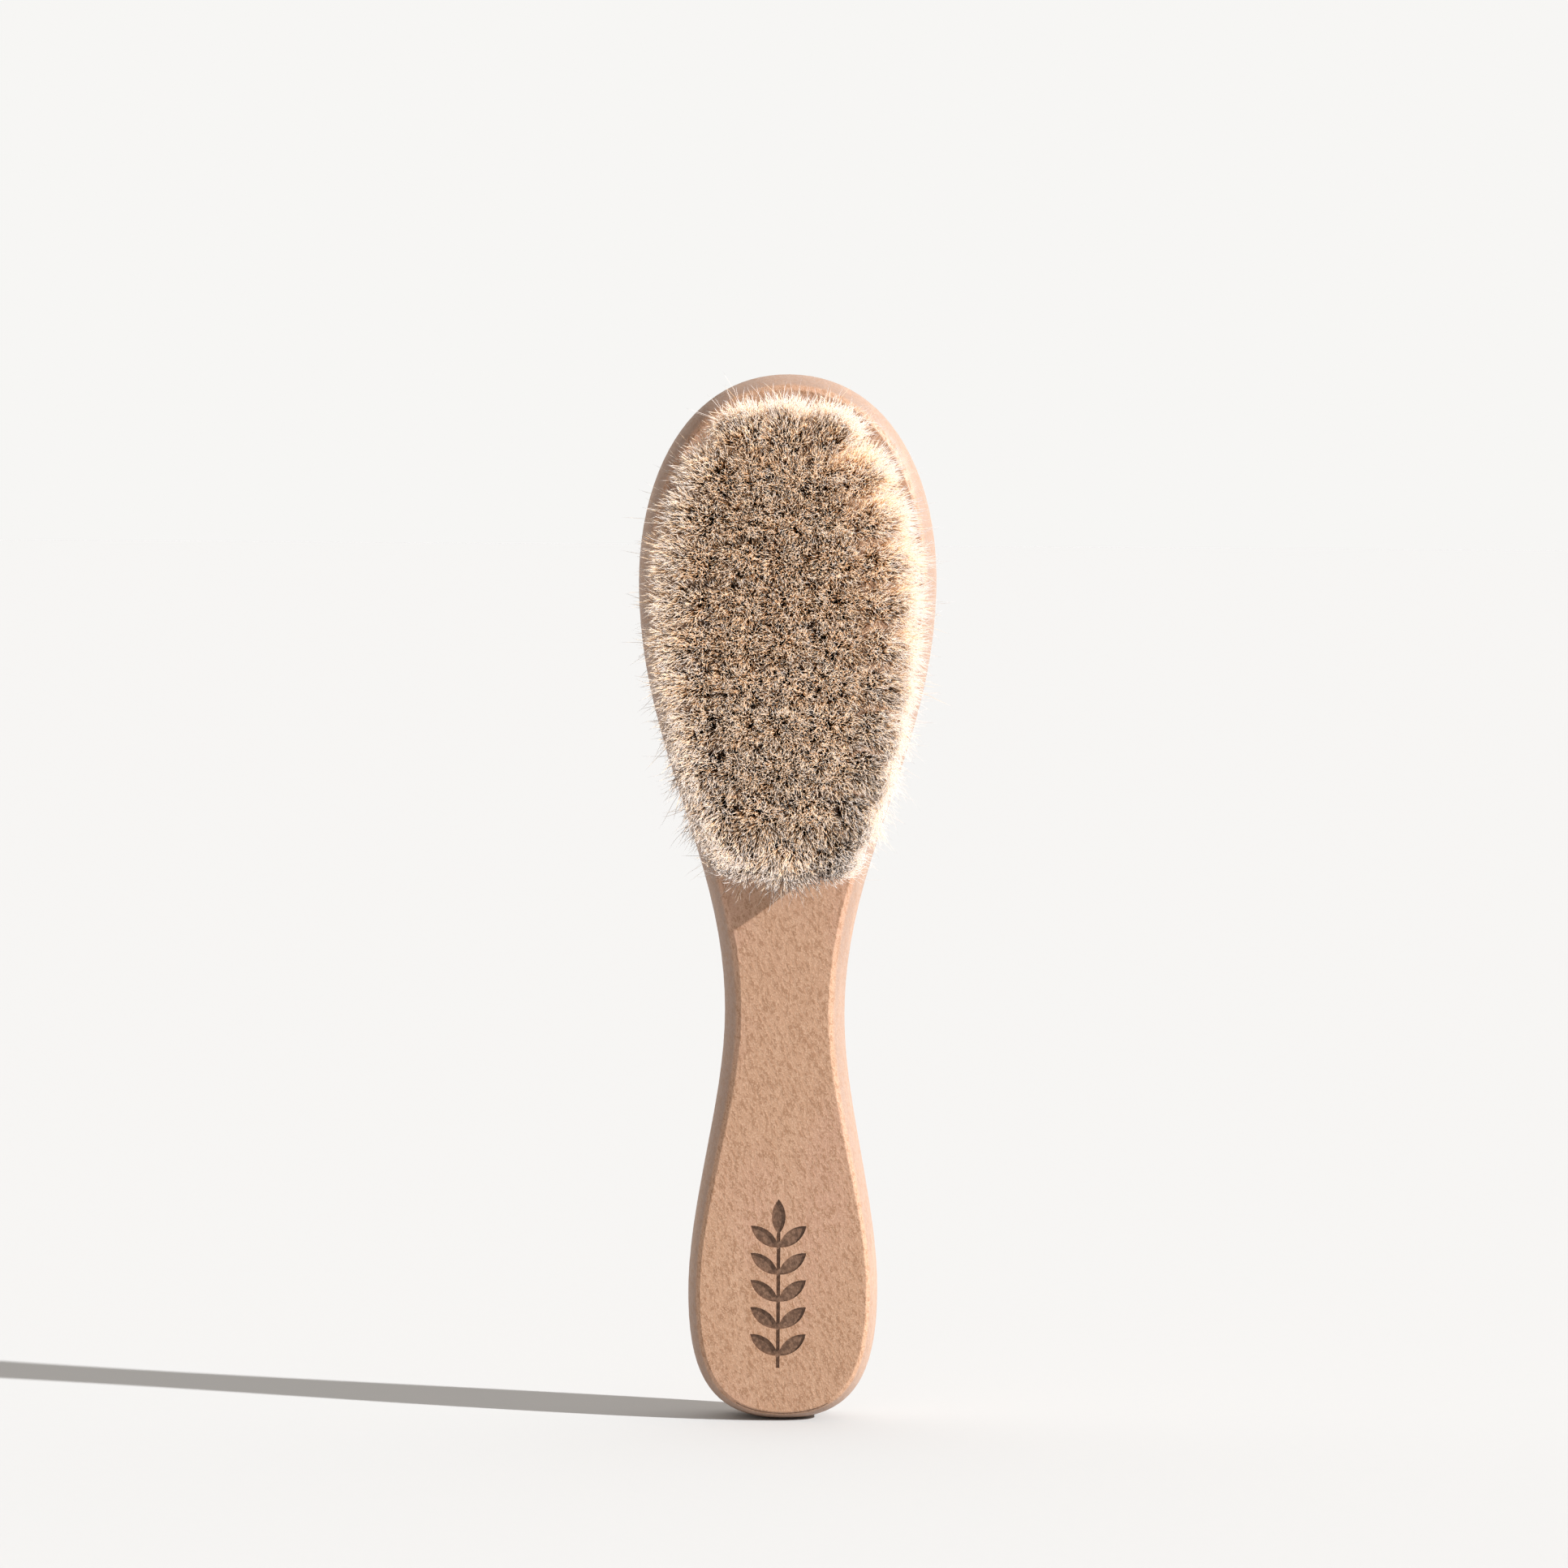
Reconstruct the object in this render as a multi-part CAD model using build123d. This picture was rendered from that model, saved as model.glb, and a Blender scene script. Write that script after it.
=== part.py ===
from build123d import *
import os
from math import radians, sqrt, tan

# A soft hair brush: one flat paddle of beech, 50 tufts of hair in blind holes,
# and a wire staple across the fold of each tuft, driven into the wood below it.
# X runs across the brush, Z up along the handle to the head, and the hair points to -Y.

# ---- the wooden board, seen from the front: its half widths and where they are
length = 160.0
grip_half_width = 14.5
butt_to_grip = 19.8
neck_half_width = 9.15
crown_to_neck = 97.4
head_half_width = 22.7
crown_to_head = 31.4

# how full the curves are: the share of its span that each end runs along its tangent
butt_fullness = 0.766
below_grip_fullness = 0.652
above_grip_fullness = 0.318
below_neck_fullness = 0.334
above_neck_fullness = 0.364
below_head_fullness = 0.389
above_head_fullness = 0.506
crown_fullness = 0.683

# ---- the board, seen from the side
board_thickness = 13.0
edge_depth = 3.2  # the rounded front edge, from the flat face back to the full outline
edge_mid_out = 0.58  # share of the edge band that lies behind its bulge
edge_mid_depth = 0.34  # share of the edge depth where that bulge is
back_radius = 5.5
face_edge_radius = 0.3

# width of the rounded front edge, seen from the front, at each station
butt_band = 1.4
grip_band = 1.75
neck_band = 2.5
head_band = 2.2
crown_band = 2.4

# ---- the field of holes, inside an egg that runs through the middles of the outermost ones
crown_to_field = 7.0
crown_to_field_widest = 38.0
crown_to_field_end = 77.5
field_to_rim = 6.3  # from the egg at its widest to the edge of the flat face
row_counts = [3, 5, 5, 5, 5, 5, 5, 5, 5, 4, 3]  # from the crown down
crown_to_top_row = 10.1
row_pitch = 6.18
hole_diameter = 3.6
hole_depth = 8.0
side_tilt = 8.0  # degrees, at the outermost holes of the widest row
end_tilt = 10.0  # degrees, at the first and the last row

# ---- hair
hair_height = 19.0  # straight out from the flat face
hair_clearance = 0.05
tuft_tip_radius = 2.85
tuft_dome = 0.9
mouth_stand = 0.6  # the tuft stays straight this far out of its hole

# ---- staples
wire_diameter = 0.5
staple_width = 2.3  # between the middles of the two legs
staple_bend = 0.5
fold_thickness = 1.1  # hair under the staple, down to the bottom of the hole
leg_in_wood = 1.9
wire_clearance = 0.04

# ---- the leaf sprig cut into the handle
sprig_depth = 0.2
sprig_bottom = 8.2
sprig_length = 26.2
sprig_centre = -0.7
stem_width = 0.55
leaf_length = 5.4
leaf_width = 2.1
leaf_pairs = 5
leaf_angle = 38.0  # degrees away from the stem

field_half_width = head_half_width - head_band - field_to_rim

# ---- the origin is under the middle of the brush, hair included
depth_over_all = board_thickness + hair_height
back_y = depth_over_all / 2
face_y = back_y - board_thickness
tip_y = face_y - hair_height


def upright(y):
    """The plane across the brush at y, drawn in X and Z and facing the hair."""
    return Plane.XZ.offset(-y)


def side_curve(low, high, low_fullness, high_fullness):
    """A curve between two (half width, height) stations, where the outline runs straight up."""
    span = high[1] - low[1]
    return Bezier(
        low, (low[0], low[1] + low_fullness * span), (high[0], high[1] - high_fullness * span), high
    )


def end_curve(station, end, side_fullness, end_fullness):
    """A curve from a station to the butt or the crown, where the outline runs straight across."""
    span = end - station[1]
    return Bezier(
        station, (station[0], station[1] + side_fullness * span), (station[0] * end_fullness, end), (0, end)
    )


def board_outline(inward):
    """The front outline, moved in by a share of the edge band: 0 is the board, 1 is its flat face."""
    grip = (grip_half_width - inward * grip_band, butt_to_grip)
    neck = (neck_half_width - inward * neck_band, length - crown_to_neck)
    head = (head_half_width - inward * head_band, length - crown_to_head)
    butt_end = inward * butt_band
    crown_end = length - inward * crown_band
    right = Curve() + [
        end_curve(grip, butt_end, below_grip_fullness, butt_fullness),
        side_curve(grip, neck, above_grip_fullness, below_neck_fullness),
        side_curve(neck, head, above_neck_fullness, below_head_fullness),
        end_curve(head, crown_end, above_head_fullness, crown_fullness),
    ]
    return make_face(right + mirror(right, Plane.YZ))


def row_half_width(height):
    """From the centre line to the outermost hole of a row, on the egg at that height."""
    widest = length - crown_to_field_widest
    end = length - (crown_to_field if height > widest else crown_to_field_end)
    share = (height - widest) / (end - widest)
    return field_half_width * sqrt(1 - share**2)


def hole_places():
    """Name, foot on the flat face, and tilts in degrees, of every hole."""
    top = length - crown_to_top_row
    half_field = row_pitch * (len(row_counts) - 1) / 2
    places = []
    for row, count in enumerate(row_counts):
        height = top - row * row_pitch
        half_width = row_half_width(height)
        rise = (height - top + half_field) / half_field
        for column in range(count):
            across = half_width * (2 * column / (count - 1) - 1)
            places.append(
                (
                    f"tuft_row{row + 1:02d}_{column + 1}",
                    (across, height),
                    side_tilt * across / field_half_width,
                    end_tilt * rise**3,
                )
            )
    return places


def hole_location(foot, tilt_side, tilt_end):
    """A frame at the mouth of a hole, whose Z runs out along the hole."""
    out = Vector(tan(radians(tilt_side)), -1, tan(radians(tilt_end)))
    return Plane((foot[0], face_y, foot[1]), x_dir=(1, 0, out.X), z_dir=out).location


def make_tuft(height):
    """A tuft on its own Z axis, 0 at the face: straight in its hole, then flaring to a low dome."""
    root = hole_diameter / 2 - hair_clearance
    shoulder = height - tuft_dome
    half = Polyline(
        (0, height),
        (0, -hole_depth),
        (root, -hole_depth),
        (root, mouth_stand),
        (tuft_tip_radius, shoulder),
    )
    dome = TangentArc((0, height), (tuft_tip_radius, shoulder), tangent=(1, 0))
    profile = make_face(Plane.XZ * (half + dome))
    return revolve(profile, Axis.Z)


def staple_path():
    """The middle of the wire: down one leg, across the fold and down the other."""
    crown = -hole_depth + fold_thickness + wire_diameter / 2
    foot = -hole_depth - leg_in_wood
    side = staple_width / 2
    return FilletPolyline(
        (-side, 0, foot), (-side, 0, crown), (side, 0, crown), (side, 0, foot), radius=staple_bend
    )


def make_staple(extra):
    """The staple of a hole on the Z axis, its wire thicker by extra all round."""
    path = staple_path()
    section = Plane(path @ 0, z_dir=path % 0) * Circle(wire_diameter / 2 + extra)
    return sweep(section, path)


def make_leaf():
    """A pointed leaf from the origin along +X, between two equal arcs."""
    upper = ThreePointArc((0, 0), (leaf_length / 2, leaf_width / 2), (leaf_length, 0))
    lower = ThreePointArc((0, 0), (leaf_length / 2, -leaf_width / 2), (leaf_length, 0))
    return make_face(upper + lower)


def make_sprig():
    """A stem with pairs of leaves and one leaf at its top, as a flat shape in X and Z."""
    top = sprig_bottom + sprig_length
    stem_top = top - leaf_length
    stem_length = stem_top - sprig_bottom
    stem = Pos(sprig_centre, sprig_bottom + stem_length / 2) * Rectangle(stem_width, stem_length)
    sprig = stem + Pos(sprig_centre, stem_top - stem_width / 2) * Rot(0, 0, 90) * make_leaf()
    pitch = stem_length / leaf_pairs
    for pair in range(leaf_pairs):
        joint = Pos(sprig_centre, sprig_bottom + pitch * (pair + 0.45))
        for turn in (leaf_angle, 180 - leaf_angle):
            sprig += joint * Rot(0, 0, turn) * make_leaf()
    return sprig


def make_board():
    """The paddle before its holes are drilled."""
    full = board_outline(0)
    slab = extrude(upright(back_y) * full, board_thickness - edge_depth)
    slab = fillet(slab.faces().sort_by(Axis.Y)[-1].edges(), back_radius)
    sections = [
        upright(face_y + edge_depth) * full,
        upright(face_y + edge_depth * edge_mid_depth) * board_outline(1 - edge_mid_out),
        upright(face_y) * board_outline(1),
    ]
    board = slab + loft(sections)
    return fillet(board.faces().sort_by(Axis.Y)[0].edges(), face_edge_radius)


def make_brush_body(places, pilot):
    """The board with its blind holes, the pilot holes of the staples, and the sprig."""
    body = make_board() - extrude(upright(face_y) * make_sprig(), -sprig_depth)
    beyond = board_thickness / 4
    drill_length = hole_depth + beyond
    drill = Pos(0, 0, beyond - drill_length / 2) * Cylinder(hole_diameter / 2, drill_length)
    cutters = []
    for name, foot, tilt_side, tilt_end in places:
        here = hole_location(foot, tilt_side, tilt_end)
        cutters += [here * drill, here * pilot]
    return body - cutters


def save(shape, name):
    shape.label = name
    export_step(shape, f"parts/{name}.step")


def build():
    os.makedirs("parts", exist_ok=True)
    places = hole_places()
    staple = make_staple(0)
    channel = make_staple(wire_clearance)

    save(make_brush_body(places, channel), "brush_body")
    staples = []
    for name, foot, tilt_side, tilt_end in places:
        here = hole_location(foot, tilt_side, tilt_end)
        staples.append(here * staple)
        lean = Vector(tan(radians(tilt_side)), -1, tan(radians(tilt_end))).length
        save(here * (make_tuft(hair_height * lean) - channel), name)
    save(Compound(staples), "anchor_staples")


build()
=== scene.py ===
import math

import bpy
import numpy as np
from mathutils import Matrix, Vector


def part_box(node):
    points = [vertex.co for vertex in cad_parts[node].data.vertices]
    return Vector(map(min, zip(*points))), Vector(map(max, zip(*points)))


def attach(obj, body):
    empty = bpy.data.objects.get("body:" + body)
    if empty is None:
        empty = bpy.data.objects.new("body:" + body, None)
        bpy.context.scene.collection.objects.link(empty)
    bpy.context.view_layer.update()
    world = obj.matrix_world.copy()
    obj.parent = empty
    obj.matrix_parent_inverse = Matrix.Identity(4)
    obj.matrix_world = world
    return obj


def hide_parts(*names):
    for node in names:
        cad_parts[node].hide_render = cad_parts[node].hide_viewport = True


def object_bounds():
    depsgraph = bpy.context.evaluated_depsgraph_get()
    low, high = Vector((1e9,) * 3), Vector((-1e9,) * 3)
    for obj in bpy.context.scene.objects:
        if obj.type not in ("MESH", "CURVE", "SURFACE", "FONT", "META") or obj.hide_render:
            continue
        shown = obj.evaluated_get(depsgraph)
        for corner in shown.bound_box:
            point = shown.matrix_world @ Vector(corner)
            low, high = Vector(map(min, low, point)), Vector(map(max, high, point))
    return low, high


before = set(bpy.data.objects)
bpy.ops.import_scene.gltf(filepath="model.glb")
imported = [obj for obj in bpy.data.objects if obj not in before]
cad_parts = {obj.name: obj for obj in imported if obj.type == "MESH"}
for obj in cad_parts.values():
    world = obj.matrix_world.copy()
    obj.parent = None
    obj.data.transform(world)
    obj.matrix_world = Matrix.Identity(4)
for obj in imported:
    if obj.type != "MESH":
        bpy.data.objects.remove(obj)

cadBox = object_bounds()
mm = 0.001

lowCorner, highCorner = cadBox
height = highCorner.z - lowCorner.z
bodyLow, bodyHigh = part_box("brush_body")
faceY = bodyLow.y  # the flat front of the head, where the hair comes out
tuftNodes = sorted(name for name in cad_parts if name.startswith("tuft_row"))
print("frame loaded:", len(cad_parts), "nodes,", len(tuftNodes), "tufts")


class Wire:
    # a value on its way through a material, on which + - and * lay Math nodes
    def __init__(self, board, socket):
        self.board = board
        self.socket = socket

    def __add__(self, other):
        return self.board.maths("ADD", self, other)

    def __sub__(self, other):
        return self.board.maths("SUBTRACT", self, other)

    def __rsub__(self, other):
        return self.board.maths("SUBTRACT", other, self)

    def __mul__(self, other):
        return self.board.maths("MULTIPLY", self, other)

    __radd__ = __add__
    __rmul__ = __mul__

    def out(self, name):
        return Wire(self.board, self.socket.node.outputs[name])


class Board:
    # the nodes of one material, or of the world
    def __init__(self, owner):
        owner.use_nodes = True
        self.owner = owner
        self.tree = owner.node_tree

    def put(self, socket, value):
        if isinstance(value, Wire):
            self.tree.links.new(value.socket, socket)
        else:
            socket.default_value = value

    def node(self, kind, settings=None, sockets=None, output=0):
        made = self.tree.nodes.new("ShaderNode" + kind)
        for key, value in (settings or {}).items():
            if key == "stops":
                self.setStops(made.color_ramp, value)
            else:
                setattr(made, key, value)
        for key, value in (sockets or {}).items():
            self.put(made.inputs[key], value)
        return Wire(self, made.outputs[output])

    def setStops(self, ramp, stops):
        while len(ramp.elements) < len(stops):
            ramp.elements.new(0.5)
        for element, (place, colour) in zip(ramp.elements, stops):
            element.position = place
            element.color = (*colour, 1)

    def maths(self, operation, first, second):
        return self.node("Math", {"operation": operation}, {0: first, 1: second})

    def mix(self, factor, first, second):
        # the Mix node has its own two inputs and output for each kind of value: these are for colours
        firstSocket, secondSocket, result = 6, 7, 2
        colours = [value if isinstance(value, Wire) else (*value, 1) for value in (first, second)]
        sockets = {0: factor, firstSocket: colours[0], secondSocket: colours[1]}
        return self.node("Mix", {"data_type": "RGBA"}, sockets, result)

    def spread(self, value, low, high, to=(0, 1)):
        return self.node(
            "MapRange",
            {"interpolation_type": "SMOOTHSTEP"},
            {"Value": value, "From Min": low, "From Max": high, "To Min": to[0], "To Max": to[1]},
        )

    def noise(self, where, size, detail=2.0, roughness=0.5):
        return self.node(
            "TexNoise", None, {"Vector": where, "Scale": 1 / size, "Detail": detail, "Roughness": roughness}
        )

    def turned(self, where, stretch, turn=(0, 0, 0)):
        angles = [math.radians(angle) for angle in turn]
        sockets = {"Vector": where, "Rotation": angles, "Scale": stretch}
        return self.node("Mapping", {"vector_type": "TEXTURE"}, sockets)

    def letThrough(self, colour, part, shade):
        # a part of the light goes on through the surface, and lamps shine on behind it, dimmed by shade
        solid = Wire(self, self.tree.nodes["Principled BSDF"].outputs[0])
        glow = self.node("BsdfTranslucent", None, {"Color": colour})
        seen = self.node("MixShader", None, {0: part, 1: solid, 2: glow})
        clear = self.node("BsdfTransparent", None, {"Color": (*shade, 1)})
        forLamps = self.node("LightPath").out("Is Shadow Ray")
        blend = self.node("MixShader", None, {0: forLamps, 1: seen, 2: clear})
        self.put(self.tree.nodes["Material Output"].inputs["Surface"], blend)

    def finish(self, values):
        for name, value in values.items():
            self.put(self.tree.nodes["Principled BSDF"].inputs[name], value)
        return self.owner


def newBoard(name):
    return Board(bpy.data.materials.new(name))


beech = {
    "tan": (0.503, 0.294, 0.184),
    "pink": (0.515, 0.296, 0.200),
    "pale": (0.649, 0.425, 0.292),
    "fleck": (0.345, 0.180, 0.098),
    "routed": (0.378, 0.260, 0.202),  # the smooth edge band, sides and back
    "burnt": (0.115, 0.060, 0.036),
    "cloudSize": 0.016,
    "ringSize": 0.0021,
    "ringShare": 0.22,  # how far the rings turn the wood pale
    "fleckSize": 0.00046,
    "fleckShare": 0.72,
    "speckShare": 0.55,
    "poreSize": 0.00033,
    "poreShare": 0.45,
    "grainTurn": -24,  # degrees that the flecks lie askew
    "routedFrom": (0.00025, 0.00070),  # depths below the flat face over which it begins
    "routedCalm": 0.65,  # share of the flecks that it has lost
    "relief": 0.00010,
    "roughness": (0.45, 0.60),
    "gloss": 0.35,
    # the sprig is the only part of the front that lies just below the flat face
    "cutFrom": (0.00008, 0.00016),
    "cutUntil": (0.00024, 0.00030),
    "sprigReach": 0.0070,  # how far from the middle of the handle it may lie
    "sprigTop": 0.25,  # below which share of the brush's height
    "charSize": 0.0005,
    "charShare": (1.0, 0.72),  # how far its burn covers the wood
}


def beechMaterial():
    board = newBoard("beech")
    where = board.node("TexCoord", None, None, "Object")
    across = board.node("SeparateXYZ", None, {"Vector": where})
    depth = across.out("Y")
    up = across.out("Z")

    cloud = board.noise(board.turned(where, (1, 1, 2.2)), beech["cloudSize"])
    ring = board.noise(board.turned(where, (1, 1, 14)), beech["ringSize"], 3)
    fleckField = board.turned(where, (1, 1, 2.1), (0, beech["grainTurn"], 0))
    fleck = board.noise(fleckField, beech["fleckSize"], 2.5, 0.55)
    speck = board.noise(where, beech["fleckSize"] * 0.45, 1.5)
    pore = board.noise(board.turned(where, (1, 1, 7)), beech["poreSize"], 1)

    routed = board.spread(depth, *[faceY + deep for deep in beech["routedFrom"]])
    sanded = 1 - routed * beech["routedCalm"]
    rings = board.spread(ring, 0.45, 0.75, (0, beech["ringShare"]))
    flecks = board.spread(fleck, 0.50, 0.60, (0, beech["fleckShare"]))
    specks = board.spread(speck, 0.50, 0.64, (0, beech["speckShare"]))
    pores = board.spread(pore, 0.60, 0.70, (0, beech["poreShare"]))
    wood = board.mix(board.spread(cloud, 0.38, 0.62), beech["tan"], beech["pink"])
    wood = board.mix(routed, wood, beech["routed"])
    wood = board.mix(rings, wood, beech["pale"])
    wood = board.mix(flecks * sanded, wood, beech["fleck"])
    wood = board.mix(specks * sanded, wood, beech["pale"])
    wood = board.mix(pores * sanded, wood, beech["fleck"])

    inCut = board.spread(depth, *[faceY + deep for deep in beech["cutFrom"]])
    shallow = board.spread(depth, *[faceY + deep for deep in beech["cutUntil"]], (1, 0))
    nearMiddle = board.maths("LESS_THAN", board.maths("ABSOLUTE", across, 0), beech["sprigReach"])
    onGrip = board.maths("LESS_THAN", up, beech["sprigTop"] * height)
    char = board.spread(board.noise(where, beech["charSize"], 3), 0.35, 0.7, beech["charShare"])
    sprig = inCut * shallow * nearMiddle * onGrip * char
    wood = board.mix(sprig, wood, beech["burnt"])

    grain = (fleck * 0.7 + speck * 0.3) * sanded
    return board.finish({
        "Base Color": wood,
        "Roughness": board.spread(fleck, 0.3, 0.7, beech["roughness"]),
        "Normal": board.node("Bump", None, {"Height": grain, "Distance": beech["relief"], "Strength": 1.0}),
        "Specular IOR Level": beech["gloss"],
    })


hair = {
    # the cream of the tips is the hair's own colour; the brown middle and the dark root are painted shade
    # deep in the field
    "root": (0.260, 0.140, 0.060),
    "middle": (0.800, 0.560, 0.330),
    "tip": (0.975, 0.870, 0.740),
    "pale": (0.800, 0.778, 0.788),
    "through": 0.48,  # share of the light that passes through a hair and is scattered
    "shade": (0.984, 0.966, 0.940),  # share of a lamp's light that each wall of a hair lets on
    "roughness": 0.32,
    "gloss": 0.6,
    "middleUntil": 0.72,  # shares of a hair's length where its colours stand
    "tipFrom": 0.93,
    "paleShare": 0.80,  # how pale the palest hairs are
    "darkShare": 0.75,  # and how close to the middle's colour the darkest
    # how pale a hair is, from 0 to 1: partly at random, and partly painted light and painted shade
    "tone": 0.56,
    "toneSpread": 0.22,
    "toneOfClump": 0.16,
    # painted light: hair paler toward the edge of the field
    "rimLightPainted": 0.36,
    "sunSideLightPainted": 0.18,  # painted light: paler at the edge of the field on the side of sunnySide, where the lamp shines in
    "underShadePainted": -0.24,  # painted shade: less where it ends below the others
    "lowRowLightPainted": 0.08,  # painted light: more in the lowest row, which lies in the shade of the field
    "sunnySide": (0.8, 0.6),
    # one tuft
    "perTuft": 1250,
    "rings": 6,  # stations along one hair, the last of them its point
    "crowding": 1.7,  # above 1, the stations stand closer together near the tip
    "sides": 3,
    "thickness": 0.000125,
    "taper": 0.55,  # share of its thickness that a hair loses up to its tip
    "plugDepth": 0.0015,  # how far down its hole a hair starts
    "holeFill": 0.94,  # share of the hole's radius that the roots fill
    "lean": 0.80,  # share of a hole's tilt that its tuft keeps up to the tip
    "reach": 0.0047,  # from the middle of a tuft's tip to its outermost hairs
    "gather": 0.40,  # spread of the roots over the spread of the tips
    "clumps": 120,
    "clumpPull": 0.35,
    "stagger": 0.00030,
    "wave": 0.00025,
    "curl": 0.0006,
    # lengths
    "uneven": 0.024,
    "undergrowth": 0.62,  # share of the hairs that end below the others
    "underBy": 0.075,  # how much shorter those are
    "lowZone": (0.120, 0.090),  # heights between which the hair changes to that of the lowest row
    "longerBelow": 0.05,  # how much longer that is
    # the edge of the field
    "paleBand": 0.0086,  # width of the zone at the edge that leans outward, where the hair is painted paler as painted light
    "splay": 0.0074,  # how far the outermost tips lean out
    "flyaways": 0.035,
    "flyawayReach": 0.0030,
    "flyawayGive": 0.0035,  # how far past the edge flyaways may stand
    "raggedness": 0.0011,  # how unevenly the others keep to the edge
    "sideMargin": 0.0012,  # how far inside the outline of the wood the tips stay, at the sides
    "crownMargin": 0.0036,  # and below the crown
    "bottomMargin": 0.0026,  # how far below the lowest tufts the hair hangs, in the middle
    "bottomCurve": (28, 7e4),  # how its lower edge rises from there, by the square and the fourth power
    "bottomCorner": 0.013,  # half the width of that edge
    "crownSoft": 0.10,  # how softly the hair is held back there, as a share at the crown
    "sideSoft": 0.0032,
    "bottomSoft": 0.0035,
    "seed": 20,
}


def hairMaterial():
    board = newBoard("goatHair")
    strand = board.node("UVMap", {"uv_map": "strand"})
    parts = board.node("SeparateXYZ", None, {"Vector": strand})
    tone = parts.out("X")
    along = parts.out("Y")
    # each hair turns darker down its length toward the root: painted shade between the hairs
    stops = [
        (0.0, hair["root"]),
        (hair["middleUntil"], hair["middle"]),
        (hair["tipFrom"], hair["tip"]),
        (1.0, hair["pale"]),
    ]
    colour = board.node("ValToRGB", {"stops": stops}, {"Fac": along})
    # paler or darker hairs by tone, which holds painted light at the edge of the field and painted shade on
    # the hairs below the others
    colour = board.mix(board.spread(tone, 0.55, 1.0, (0, hair["paleShare"])), colour, hair["pale"])
    colour = board.mix(board.spread(tone, 0.45, 0.0, (0, hair["darkShare"])), colour, hair["middle"])
    board.letThrough(colour, hair["through"], hair["shade"])
    return board.finish({
        "Base Color": colour,
        "Roughness": hair["roughness"],
        "Specular IOR Level": hair["gloss"],
    })


staple = {
    "dark": (0.50, 0.50, 0.51),
    "light": (0.68, 0.68, 0.69),
    "drawMarks": 0.00012,
    "roughness": (0.28, 0.42),
}


def wireMaterial():
    board = newBoard("stapleSteel")
    where = board.node("TexCoord", None, None, "Object")
    draw = board.noise(board.turned(where, (1, 6, 1)), staple["drawMarks"], 2)
    return board.finish({
        "Base Color": board.mix(draw, staple["dark"], staple["light"]),
        "Metallic": 1.0,
        "Roughness": board.spread(draw, 0.3, 0.7, staple["roughness"]),
    })


def tuftLine(name):
    # the middle of a tuft at the bottom of its hole, and at its tip
    corners = np.array([v.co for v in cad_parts[name].data.vertices])
    rootEnd = corners[corners[:, 1] > corners[:, 1].max() - 1.2 * mm]
    tipEnd = corners[corners[:, 1] < corners[:, 1].min() + 1.6 * mm]
    ends = [(part.min(0) + part.max(0)) / 2 for part in (rootEnd, tipEnd)]
    radius = (rootEnd[:, 0].max() - rootEnd[:, 0].min()) / 2
    return ends[0], ends[0] + (ends[1] - ends[0]) * (hair["lean"], 1, hair["lean"]), radius


def woodOutline():
    # heights, and half the width of the wood at each
    corners = np.array([v.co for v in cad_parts["brush_body"].data.vertices])
    levels = np.linspace(corners[:, 2].min(), corners[:, 2].max(), 81)
    halves = []
    for level in levels:
        near = corners[np.abs(corners[:, 2] - level) < 1.1 * mm]
        halves.append(np.abs(near[:, 0]).max())
    halves[-1] = 0
    return levels, np.array(halves)


outlineLevels, outlineHalves = woodOutline()
widestLevel = outlineLevels[np.argmax(outlineHalves)]
tips = np.array([tuftLine(name)[1] for name in tuftNodes])


def bottomEdge(across):
    # the lower edge of the hair, an arc that hangs lowest in the middle
    across = np.minimum(np.abs(across), hair["bottomCorner"])
    square, fourth = hair["bottomCurve"]
    return tips[:, 2].min() - hair["bottomMargin"] + square * across ** 2 + fourth * across ** 4


def softCap(value, limit, soft):
    # value, held back smoothly from going past limit
    over = np.maximum(value - limit + soft, 0)
    return value - over + soft * (1 - np.exp(-over / soft))


def keepInside(spots, give):
    # moves spots in X and Z until they stand inside the outline of the wood, or past it by give
    moved = spots.copy()
    upper = spots[:, 1] > widestLevel
    halfWidth = outlineHalves.max() - hair["sideMargin"] + give
    halfHeight = bodyHigh.z - widestLevel - hair["crownMargin"] + give
    rise = spots[:, 1] - widestLevel
    out = np.maximum(np.hypot(spots[:, 0] / halfWidth, rise / halfHeight), 1e-6)
    pull = softCap(out, 1.0, hair["crownSoft"]) / out
    moved[upper, 0] = (spots[:, 0] * pull)[upper]
    moved[upper, 1] = (widestLevel + rise * pull)[upper]
    limit = np.interp(spots[:, 1], outlineLevels, outlineHalves) - hair["sideMargin"] + give
    narrowed = np.sign(spots[:, 0]) * softCap(np.abs(spots[:, 0]), limit, hair["sideSoft"])
    moved[~upper, 0] = narrowed[~upper]
    moved[:, 1] = -softCap(-moved[:, 1], give - bottomEdge(moved[:, 0]), hair["bottomSoft"])
    return moved


def outwardWay(spots):
    # the way out of the field in X and Z, square to an egg round its middle
    rise = spots[:, 1] - widestLevel
    halfHeight = np.where(rise > 0, bodyHigh.z - widestLevel, widestLevel - bottomEdge(0))
    way = np.stack([spots[:, 0] / outlineHalves.max() ** 2, rise / halfHeight ** 2], 1)
    return way / np.maximum(np.linalg.norm(way, axis=1, keepdims=True), 1e-6)


def nearRim(spots):
    # 1 at the edge of the hair, falling to 0 in the thick of the field
    sides = np.interp(spots[:, 1] + 2 * mm, outlineLevels, outlineHalves) - 2 * mm - np.abs(spots[:, 0])
    crown = bodyHigh.z - hair["crownMargin"] - spots[:, 1]
    bottom = spots[:, 1] - bottomEdge(spots[:, 0])
    inside = np.minimum(np.minimum(sides, crown), bottom)
    return np.clip(1 - inside / hair["paleBand"], 0, 1)


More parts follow.
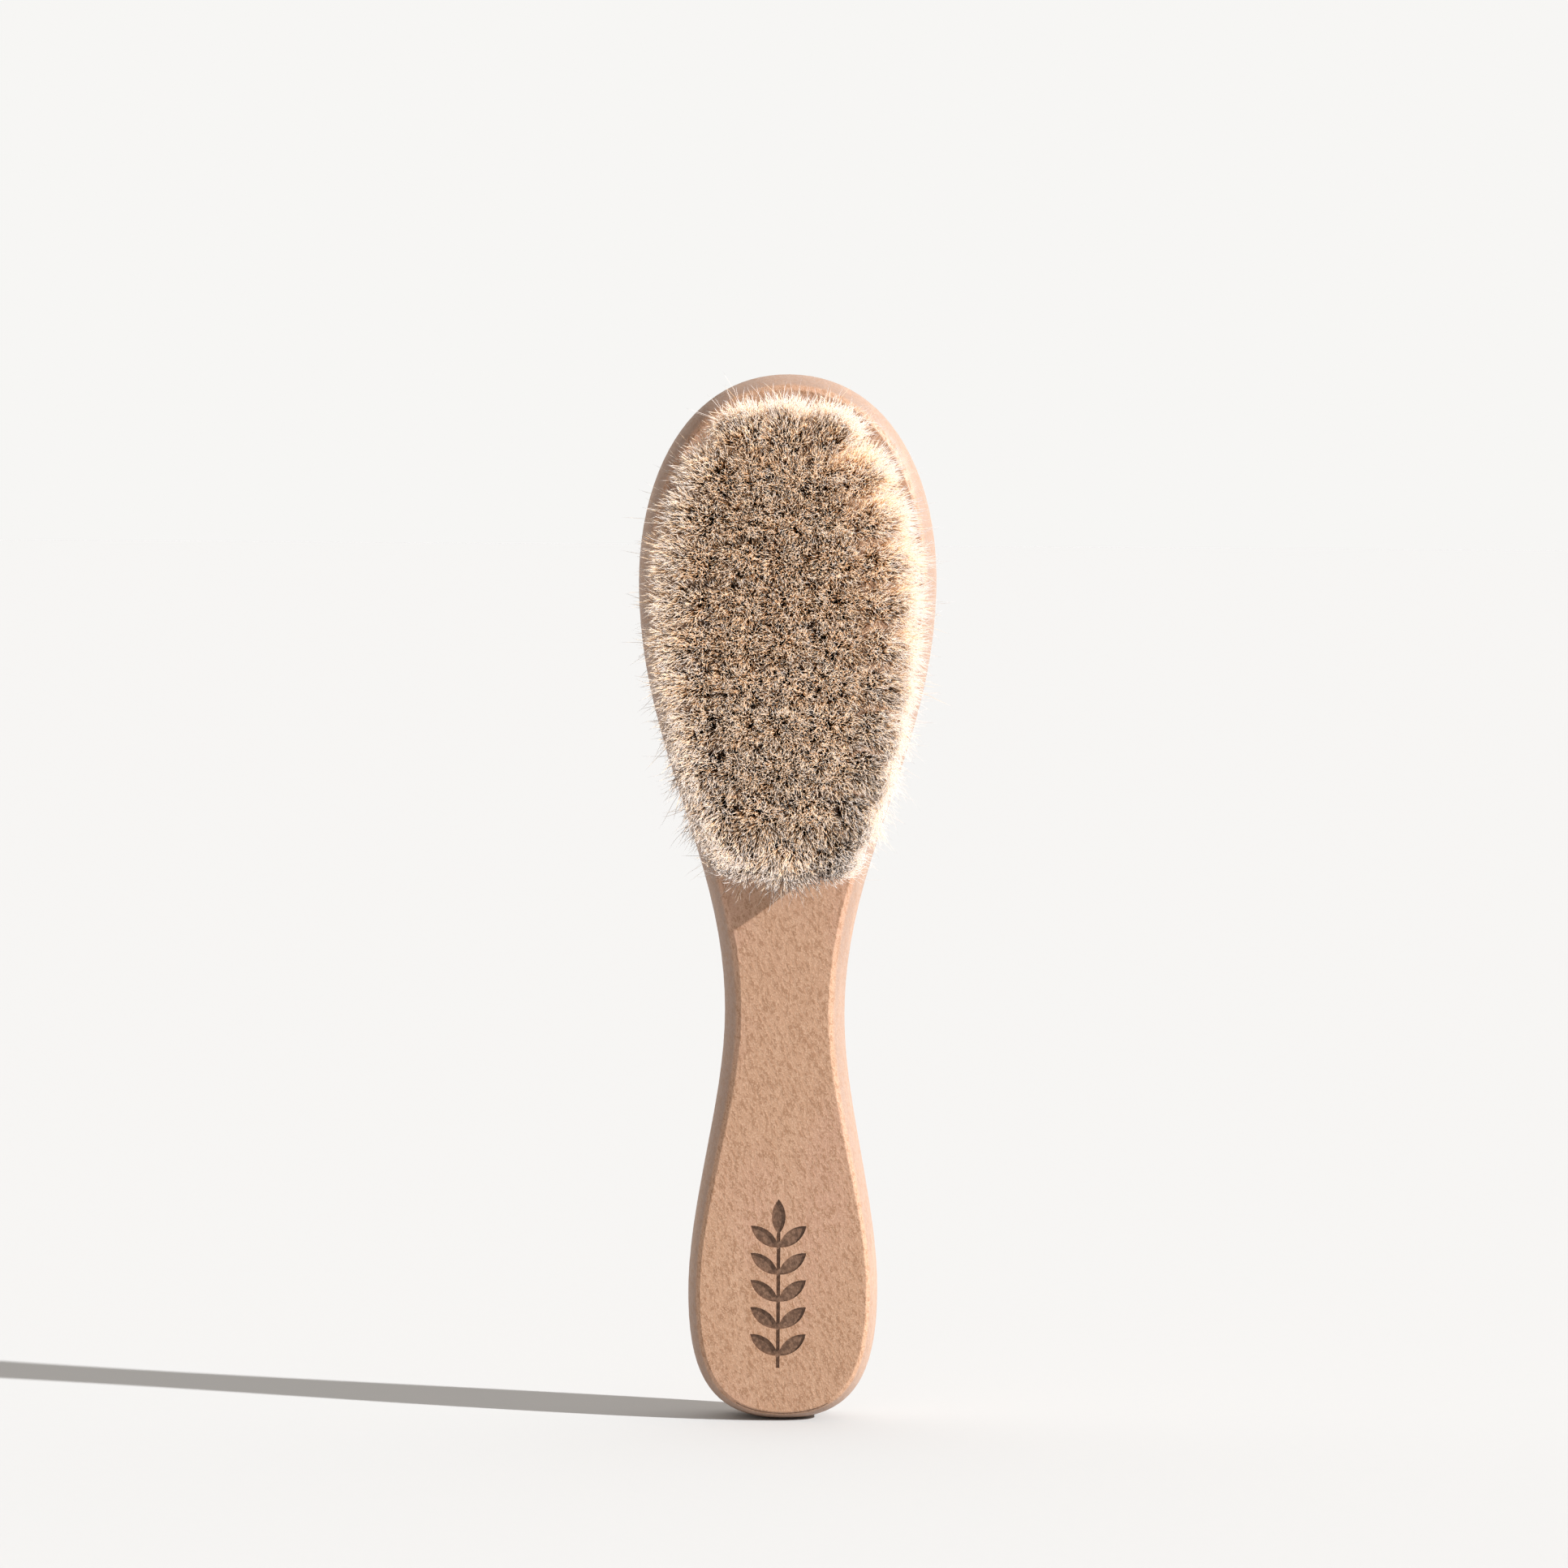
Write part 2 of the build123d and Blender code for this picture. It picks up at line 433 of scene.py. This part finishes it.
def tipPlaces(count, others, random):
    # places spread evenly over the part of the field that is nearer to this tuft than to others
    found = np.zeros((0, 2))
    while len(found) < count:
        angle = random.uniform(0, 2 * np.pi, count)
        radius = hair["reach"] * np.sqrt(random.uniform(0, 1, count))
        place = np.stack([radius * np.cos(angle), radius * np.sin(angle)], 1)
        taken = (place @ others.T > (others ** 2).sum(1) / 2).any(1)
        found = np.concatenate([found, place[~taken]])
    return found[:count]


class Tuft:
    # where the hairs of a tuft start, how long they are, and the ways along and across them
    def __init__(self, name):
        root, self.tip, self.holeRadius = tuftLine(name)
        self.axis = (self.tip - root) / np.linalg.norm(self.tip - root)
        toFace = (root[1] - faceY) / -self.axis[1]
        self.start = root + self.axis * (toFace - hair["plugDepth"])
        self.length = np.linalg.norm(self.tip - self.start)
        self.sideways = np.cross((0, 0, 1), self.axis)
        self.sideways /= np.linalg.norm(self.sideways)
        self.upward = np.cross(self.axis, self.sideways)
        zoneTop, zoneEnd = hair["lowZone"]
        self.below = np.clip((zoneTop - root[2]) / (zoneTop - zoneEnd), 0, 1)


def plantHairs(tuft, others, random):
    # where each hair stands in the hole and where it leans to, its clump's middle pulling it a little
    count = hair["perTuft"]
    place = tipPlaces(count, others, random)
    foot = place * hair["gather"]
    foot *= np.minimum(1, hair["holeFill"] * tuft.holeRadius / np.linalg.norm(foot, axis=1))[:, None]
    clump = tipPlaces(hair["clumps"], others, random)
    nearest = np.argmin(np.linalg.norm(place[:, None] - clump[None], axis=2), axis=1)
    leaning = place + (clump[nearest] - place) * hair["clumpPull"]
    leaning = leaning + random.normal(0, hair["stagger"], (count, 2))
    return foot, leaning, nearest


def leanOutward(spots, random):
    # how tips near the edge of the field bend outward, and no further than the wood
    count = len(spots)
    rim = nearRim(spots)
    stray = (random.uniform(0, 1, count) < hair["flyaways"]) & (rim > 0.25)
    splay = hair["splay"] * rim ** 1.2 * random.uniform(0, 1, count)
    splay = splay + stray * hair["flyawayReach"] * random.uniform(0.5, 1.0, count)
    way = outwardWay(spots) + random.normal(0, 0.25, (count, 2))
    give = stray * hair["flyawayGive"] + random.normal(0, hair["raggedness"], count)
    bend = keepInside(spots + way * splay[:, None], give) - spots
    return rim, stray, way, bend


def wavesAlong(share, random):
    # a slow and a quick wave along each hair, both 0 at its root
    count = hair["perTuft"]
    phase = random.uniform(0, 2 * np.pi, (2, count, 1, 2))
    pace = random.uniform(0.7, 1.4, (2, count, 1, 1))
    size = random.uniform(0.4, 1.2, (2, count, 1, 1)) * hair["wave"]
    slow = size[0] * (np.sin(2 * np.pi * 1.1 * pace[0] * share + phase[0]) - np.sin(phase[0]))
    quick = 0.45 * size[1] * (np.sin(2 * np.pi * 3.0 * pace[1] * share + phase[1]) - np.sin(phase[1]))
    return slow + quick


def hairLengths(tuft, rim, stray, random):
    # which hairs end below the others, and the length of each as a share of the tuft's
    count = len(rim)
    share = hair["undergrowth"] * (1 - 0.6 * rim) * (1 - 0.75 * tuft.below)
    under = (random.uniform(0, 1, count) < share) & ~stray
    lengths = 1 + random.normal(0, hair["uneven"], count) * (1 + 1.5 * rim)
    lengths = lengths + hair["longerBelow"] * tuft.below
    lengths = lengths - under * hair["underBy"] * random.uniform(0.3, 1.2, count)
    return under, lengths


def hairLines(tuft, lateral, lengths, stations):
    # the length of a hair stays what it was cut to, so what leans stands less far out
    step = np.diff(lateral, axis=1)
    run = tuft.length * lengths[:, None, None] * np.diff(stations)[None, :, None] * 1.02
    rise = np.sqrt(np.maximum(run ** 2 - (step ** 2).sum(2, keepdims=True), (0.3 * run) ** 2))
    out = np.concatenate([np.zeros((len(lateral), 1, 1)), np.cumsum(rise, 1)], 1)
    return tuft.start + lateral[..., :1] * tuft.sideways + lateral[..., 1:] * tuft.upward + out * tuft.axis


def thinTubes(lines, upward, share, size, random):
    # the corners of a thin tube round each line, the last of them its point
    count = len(lines)
    along = np.gradient(lines, axis=1)
    along /= np.linalg.norm(along, axis=2, keepdims=True)
    flat = np.cross(along, upward)
    flat /= np.linalg.norm(flat, axis=2, keepdims=True)
    edge = np.cross(along, flat)
    thick = hair["thickness"] / 2 * random.uniform(0.75, 1.2, (count, 1, 1)) * size[:, None, None]
    radius = thick * (1 - hair["taper"] * share ** 2)
    ringPoints = []
    for side in range(hair["sides"]):
        turn = 2 * np.pi * side / hair["sides"]
        ringPoints.append(lines + (flat * np.cos(turn) + edge * np.sin(turn)) * radius)
    tube = np.stack(ringPoints, 2)[:, :-1].reshape(count, -1, 3)
    return np.concatenate([tube, lines[:, -1:]], 1)


def hairMesh(name, points, strand):
    # all the hairs of a tuft as one mesh, with what the material reads and a sheet for its colours
    count, perHair = points.shape[:2]
    faces = hairFaces(hair["rings"], hair["sides"])
    base = (np.arange(count) * perHair)[:, None]
    loops = (base + np.array([corner for face in faces for corner in face])[None]).ravel()
    sizes = np.tile([len(face) for face in faces], count)

    mesh = bpy.data.meshes.new(name)
    mesh.vertices.add(count * perHair)
    mesh.vertices.foreach_set("co", points.astype(np.float32).ravel())
    mesh.loops.add(len(loops))
    mesh.loops.foreach_set("vertex_index", loops.astype(np.int32))
    mesh.polygons.add(len(sizes))
    mesh.polygons.foreach_set("loop_start", (np.cumsum(sizes) - sizes).astype(np.int32))
    mesh.update(calc_edges=True)
    mesh.polygons.foreach_set("use_smooth", np.ones(len(sizes), bool))

    strand = strand.reshape(-1, 2)[loops]
    sheet = sheetPlaces(count, faces, hair["rings"], hair["sides"])
    mesh.uv_layers.new(name="strand").data.foreach_set("uv", strand.astype(np.float32).ravel())
    mesh.uv_layers.new(name="OFBake").data.foreach_set("uv", sheet.ravel())
    return mesh


def makeTuft(name, others, random):
    tuft = Tuft(name)
    count = hair["perTuft"]
    stations = 1 - (1 - np.linspace(0, 1, hair["rings"])) ** hair["crowding"]
    share = stations[None, :, None]
    foot, leaning, nearest = plantHairs(tuft, others, random)
    rim, stray, way, bend = leanOutward(tuft.tip[[0, 2]] + leaning, random)

    # curled tips, alike within a clump
    clumpCurl = random.normal(0, 1, (hair["clumps"], 2))
    curl = (clumpCurl[nearest] * 0.55 + random.normal(0, 0.85, (count, 2))) * hair["curl"]
    curl = curl * (1 - 0.5 * rim[:, None])
    lateral = foot[:, None] + (leaning - foot)[:, None] * share + bend[:, None] * share ** 3
    lateral = lateral + curl[:, None] * share ** 8 + wavesAlong(share, random) * share ** 0.7

    under, lengths = hairLengths(tuft, rim, stray, random)
    lines = hairLines(tuft, lateral, lengths, stations)
    points = thinTubes(lines, tuft.upward, share, 1 + 0.25 * ~under - 0.55 * stray, random)

    # how pale each hair is: partly at random, and partly painted light, most of all toward the edge of the
    # field, with painted shade on the hairs that end below the others
    sunny = np.clip(0.5 + 0.5 * way @ hair["sunnySide"], 0, 1)
    tone = hair["toneSpread"] * random.normal(0, 1, (count, 1)) + hair["toneOfClump"] * clumpCurl[nearest, :1]
    even = hair["tone"] + hair["underShadePainted"] * under + hair["lowRowLightPainted"] * tuft.below
    tone = tone + ((hair["rimLightPainted"] + hair["sunSideLightPainted"] * sunny) * rim + even)[:, None]
    along = np.append(np.repeat(stations[:-1], hair["sides"]), 1)
    strand = np.stack(np.broadcast_arrays(np.clip(tone, 0.01, 0.99), along[None]), 2)

    mesh = hairMesh(name.replace("tuft", "hair"), points, strand)
    piece = bpy.data.objects.new(mesh.name, mesh)
    bpy.context.scene.collection.objects.link(piece)
    return piece


def hairFaces(rings, sides):
    # corner numbers of one hair's faces: a cap at the root, fours up the sides, threes to the point
    faces = [tuple(range(sides))]
    point = (rings - 1) * sides
    for ring in range(rings - 1):
        for side in range(sides):
            here = ring * sides + side
            beside = ring * sides + (side + 1) % sides
            if ring < rings - 2:
                faces.append((beside, here, here + sides, beside + sides))
            else:
                faces.append((beside, here, point))
    return faces


def sheetPlaces(count, faces, rings, sides):
    # each hair laid out as a strip in its own cell of a square sheet
    across = math.ceil(math.sqrt(count))
    cell = 1 / across
    place = []
    for face in faces[1:]:
        first = face[1]
        ring, side = divmod(first, sides)
        left = (side + 0.1) / sides
        right = (side + 0.9) / sides
        low = ring / (rings - 1)
        high = (ring + 1) / (rings - 1)
        if len(face) == 4:
            place += [(right, low), (left, low), (left, high), (right, high)]
        else:
            place += [(right, low), (left, low), ((left + right) / 2, high)]
    cap = [(0.1, 0.0), (0.5, 0.0), (0.3, 0.06)]
    unit = np.array(cap + place) * 0.9 + 0.05  # with a gap round each strip
    column = (np.arange(count) % across)[:, None]
    row = (np.arange(count) // across)[:, None]
    u = (column + unit[None, :, 0]) * cell
    v = (row + unit[None, :, 1]) * cell
    return np.stack([u, v], 2).astype(np.float32)


def setMaterial(piece, material):
    piece.data.materials.clear()
    piece.data.materials.append(material)


setMaterial(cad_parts["brush_body"], beechMaterial())
setMaterial(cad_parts["anchor_staples"], wireMaterial())
print("wood and steel are on")

goatHair = hairMaterial()
for number, name in enumerate(tuftNodes):
    others = np.delete(tips - tips[number], number, axis=0)[:, [0, 2]]
    piece = makeTuft(name, others, np.random.default_rng(hair["seed"] + number))
    setMaterial(piece, goatHair)
    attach(piece, "root")
    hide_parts(name)
print("hair is on:", len(tuftNodes), "tufts of", hair["perTuft"])


studio = {
    "distance": 0.8945,  # camera to the face of the brush
    "cameraHeight": 0.875,  # shares of the brush's height
    "aimHeight": 0.6104,
    "shift": -0.00035,  # sideways
    "roll": 0.4,
    "lens": 135.0,
    "sunWay": (0.822, -0.272, 0.500),  # from the brush to the light
    "sunPower": 6.3,
    "sunWidth": 1.2,
    "frontGlow": 0.34,  # strength of the sky before the brush
    "backGlow": 1.10,  # and behind it
    "glowEdges": (-0.15, 0.35),  # between which the one turns into the other
    "skyTint": (1.0, 0.94, 0.88),
    "backdrop": (0.930, 0.922, 0.905),
    "floorColour": (0.556, 0.562, 0.566),
    "floorMottle": 0.005,
    "mottleSize": 0.002,
    "floorSize": 40.0,
}


def makeFloor():
    bpy.ops.mesh.primitive_plane_add(size=studio["floorSize"], location=(0, 0, lowCorner.z))
    floor = bpy.context.object
    floor.name = "floor"
    board = newBoard("paperFloor")
    where = board.node("TexCoord", None, None, "Object")
    colour = Vector(studio["floorColour"])
    tones = [colour * (1 - studio["floorMottle"]), colour * (1 + studio["floorMottle"])]
    paper = board.finish({
        "Base Color": board.mix(board.noise(where, studio["mottleSize"], 2), *tones),
        "Roughness": 0.9,
        "Specular IOR Level": 0.0,
    })
    setMaterial(floor, paper)


def makeSun():
    sun = bpy.data.lights.new("key", "SUN")
    sun.energy = studio["sunPower"]
    sun.angle = math.radians(studio["sunWidth"])
    lamp = bpy.data.objects.new("key", sun)
    lamp.rotation_euler = Vector(studio["sunWay"]).to_track_quat("Z", "Y").to_euler()
    bpy.context.scene.collection.objects.link(lamp)


def makeSky():
    # the camera sees a plain backdrop, and all else is lit by a sky that is brighter behind the brush
    world = bpy.data.worlds.new("studio")
    bpy.context.scene.world = world
    board = Board(world)
    plain = board.tree.nodes["Background"]
    board.put(plain.inputs["Color"], (*studio["backdrop"], 1))
    lookWay = board.node("TexCoord", None, None, "Generated")
    behind = board.node("SeparateXYZ", None, {"Vector": lookWay}).out("Y")
    strength = board.spread(behind, *studio["glowEdges"], (studio["frontGlow"], studio["backGlow"]))
    glow = board.node("Background", None, {"Color": (*studio["skyTint"], 1), "Strength": strength})
    forCamera = board.node("LightPath").out("Is Camera Ray")
    blend = board.node("MixShader", None, {0: forCamera, 1: glow, 2: Wire(board, plain.outputs[0])})
    board.put(board.tree.nodes["World Output"].inputs["Surface"], blend)


def makeCamera():
    lens = bpy.data.cameras.new("camera")
    lens.lens = studio["lens"]
    lens.sensor_width = 36.0
    camera = bpy.data.objects.new("camera", lens)
    eyeLevel = lowCorner.z + studio["cameraHeight"] * height
    place = Vector((studio["shift"], faceY - studio["distance"], eyeLevel))
    aim = Vector((studio["shift"], faceY, lowCorner.z + studio["aimHeight"] * height))
    look = (aim - place).to_track_quat("-Z", "Y").to_matrix().to_4x4()
    roll = Matrix.Rotation(math.radians(studio["roll"]), 4, "Z")
    camera.matrix_world = Matrix.Translation(place) @ look @ roll
    bpy.context.scene.collection.objects.link(camera)
    bpy.context.scene.camera = camera


makeFloor()
makeSun()
makeSky()
makeCamera()
bpy.context.scene.view_settings.view_transform = "Standard"
print("studio is set")
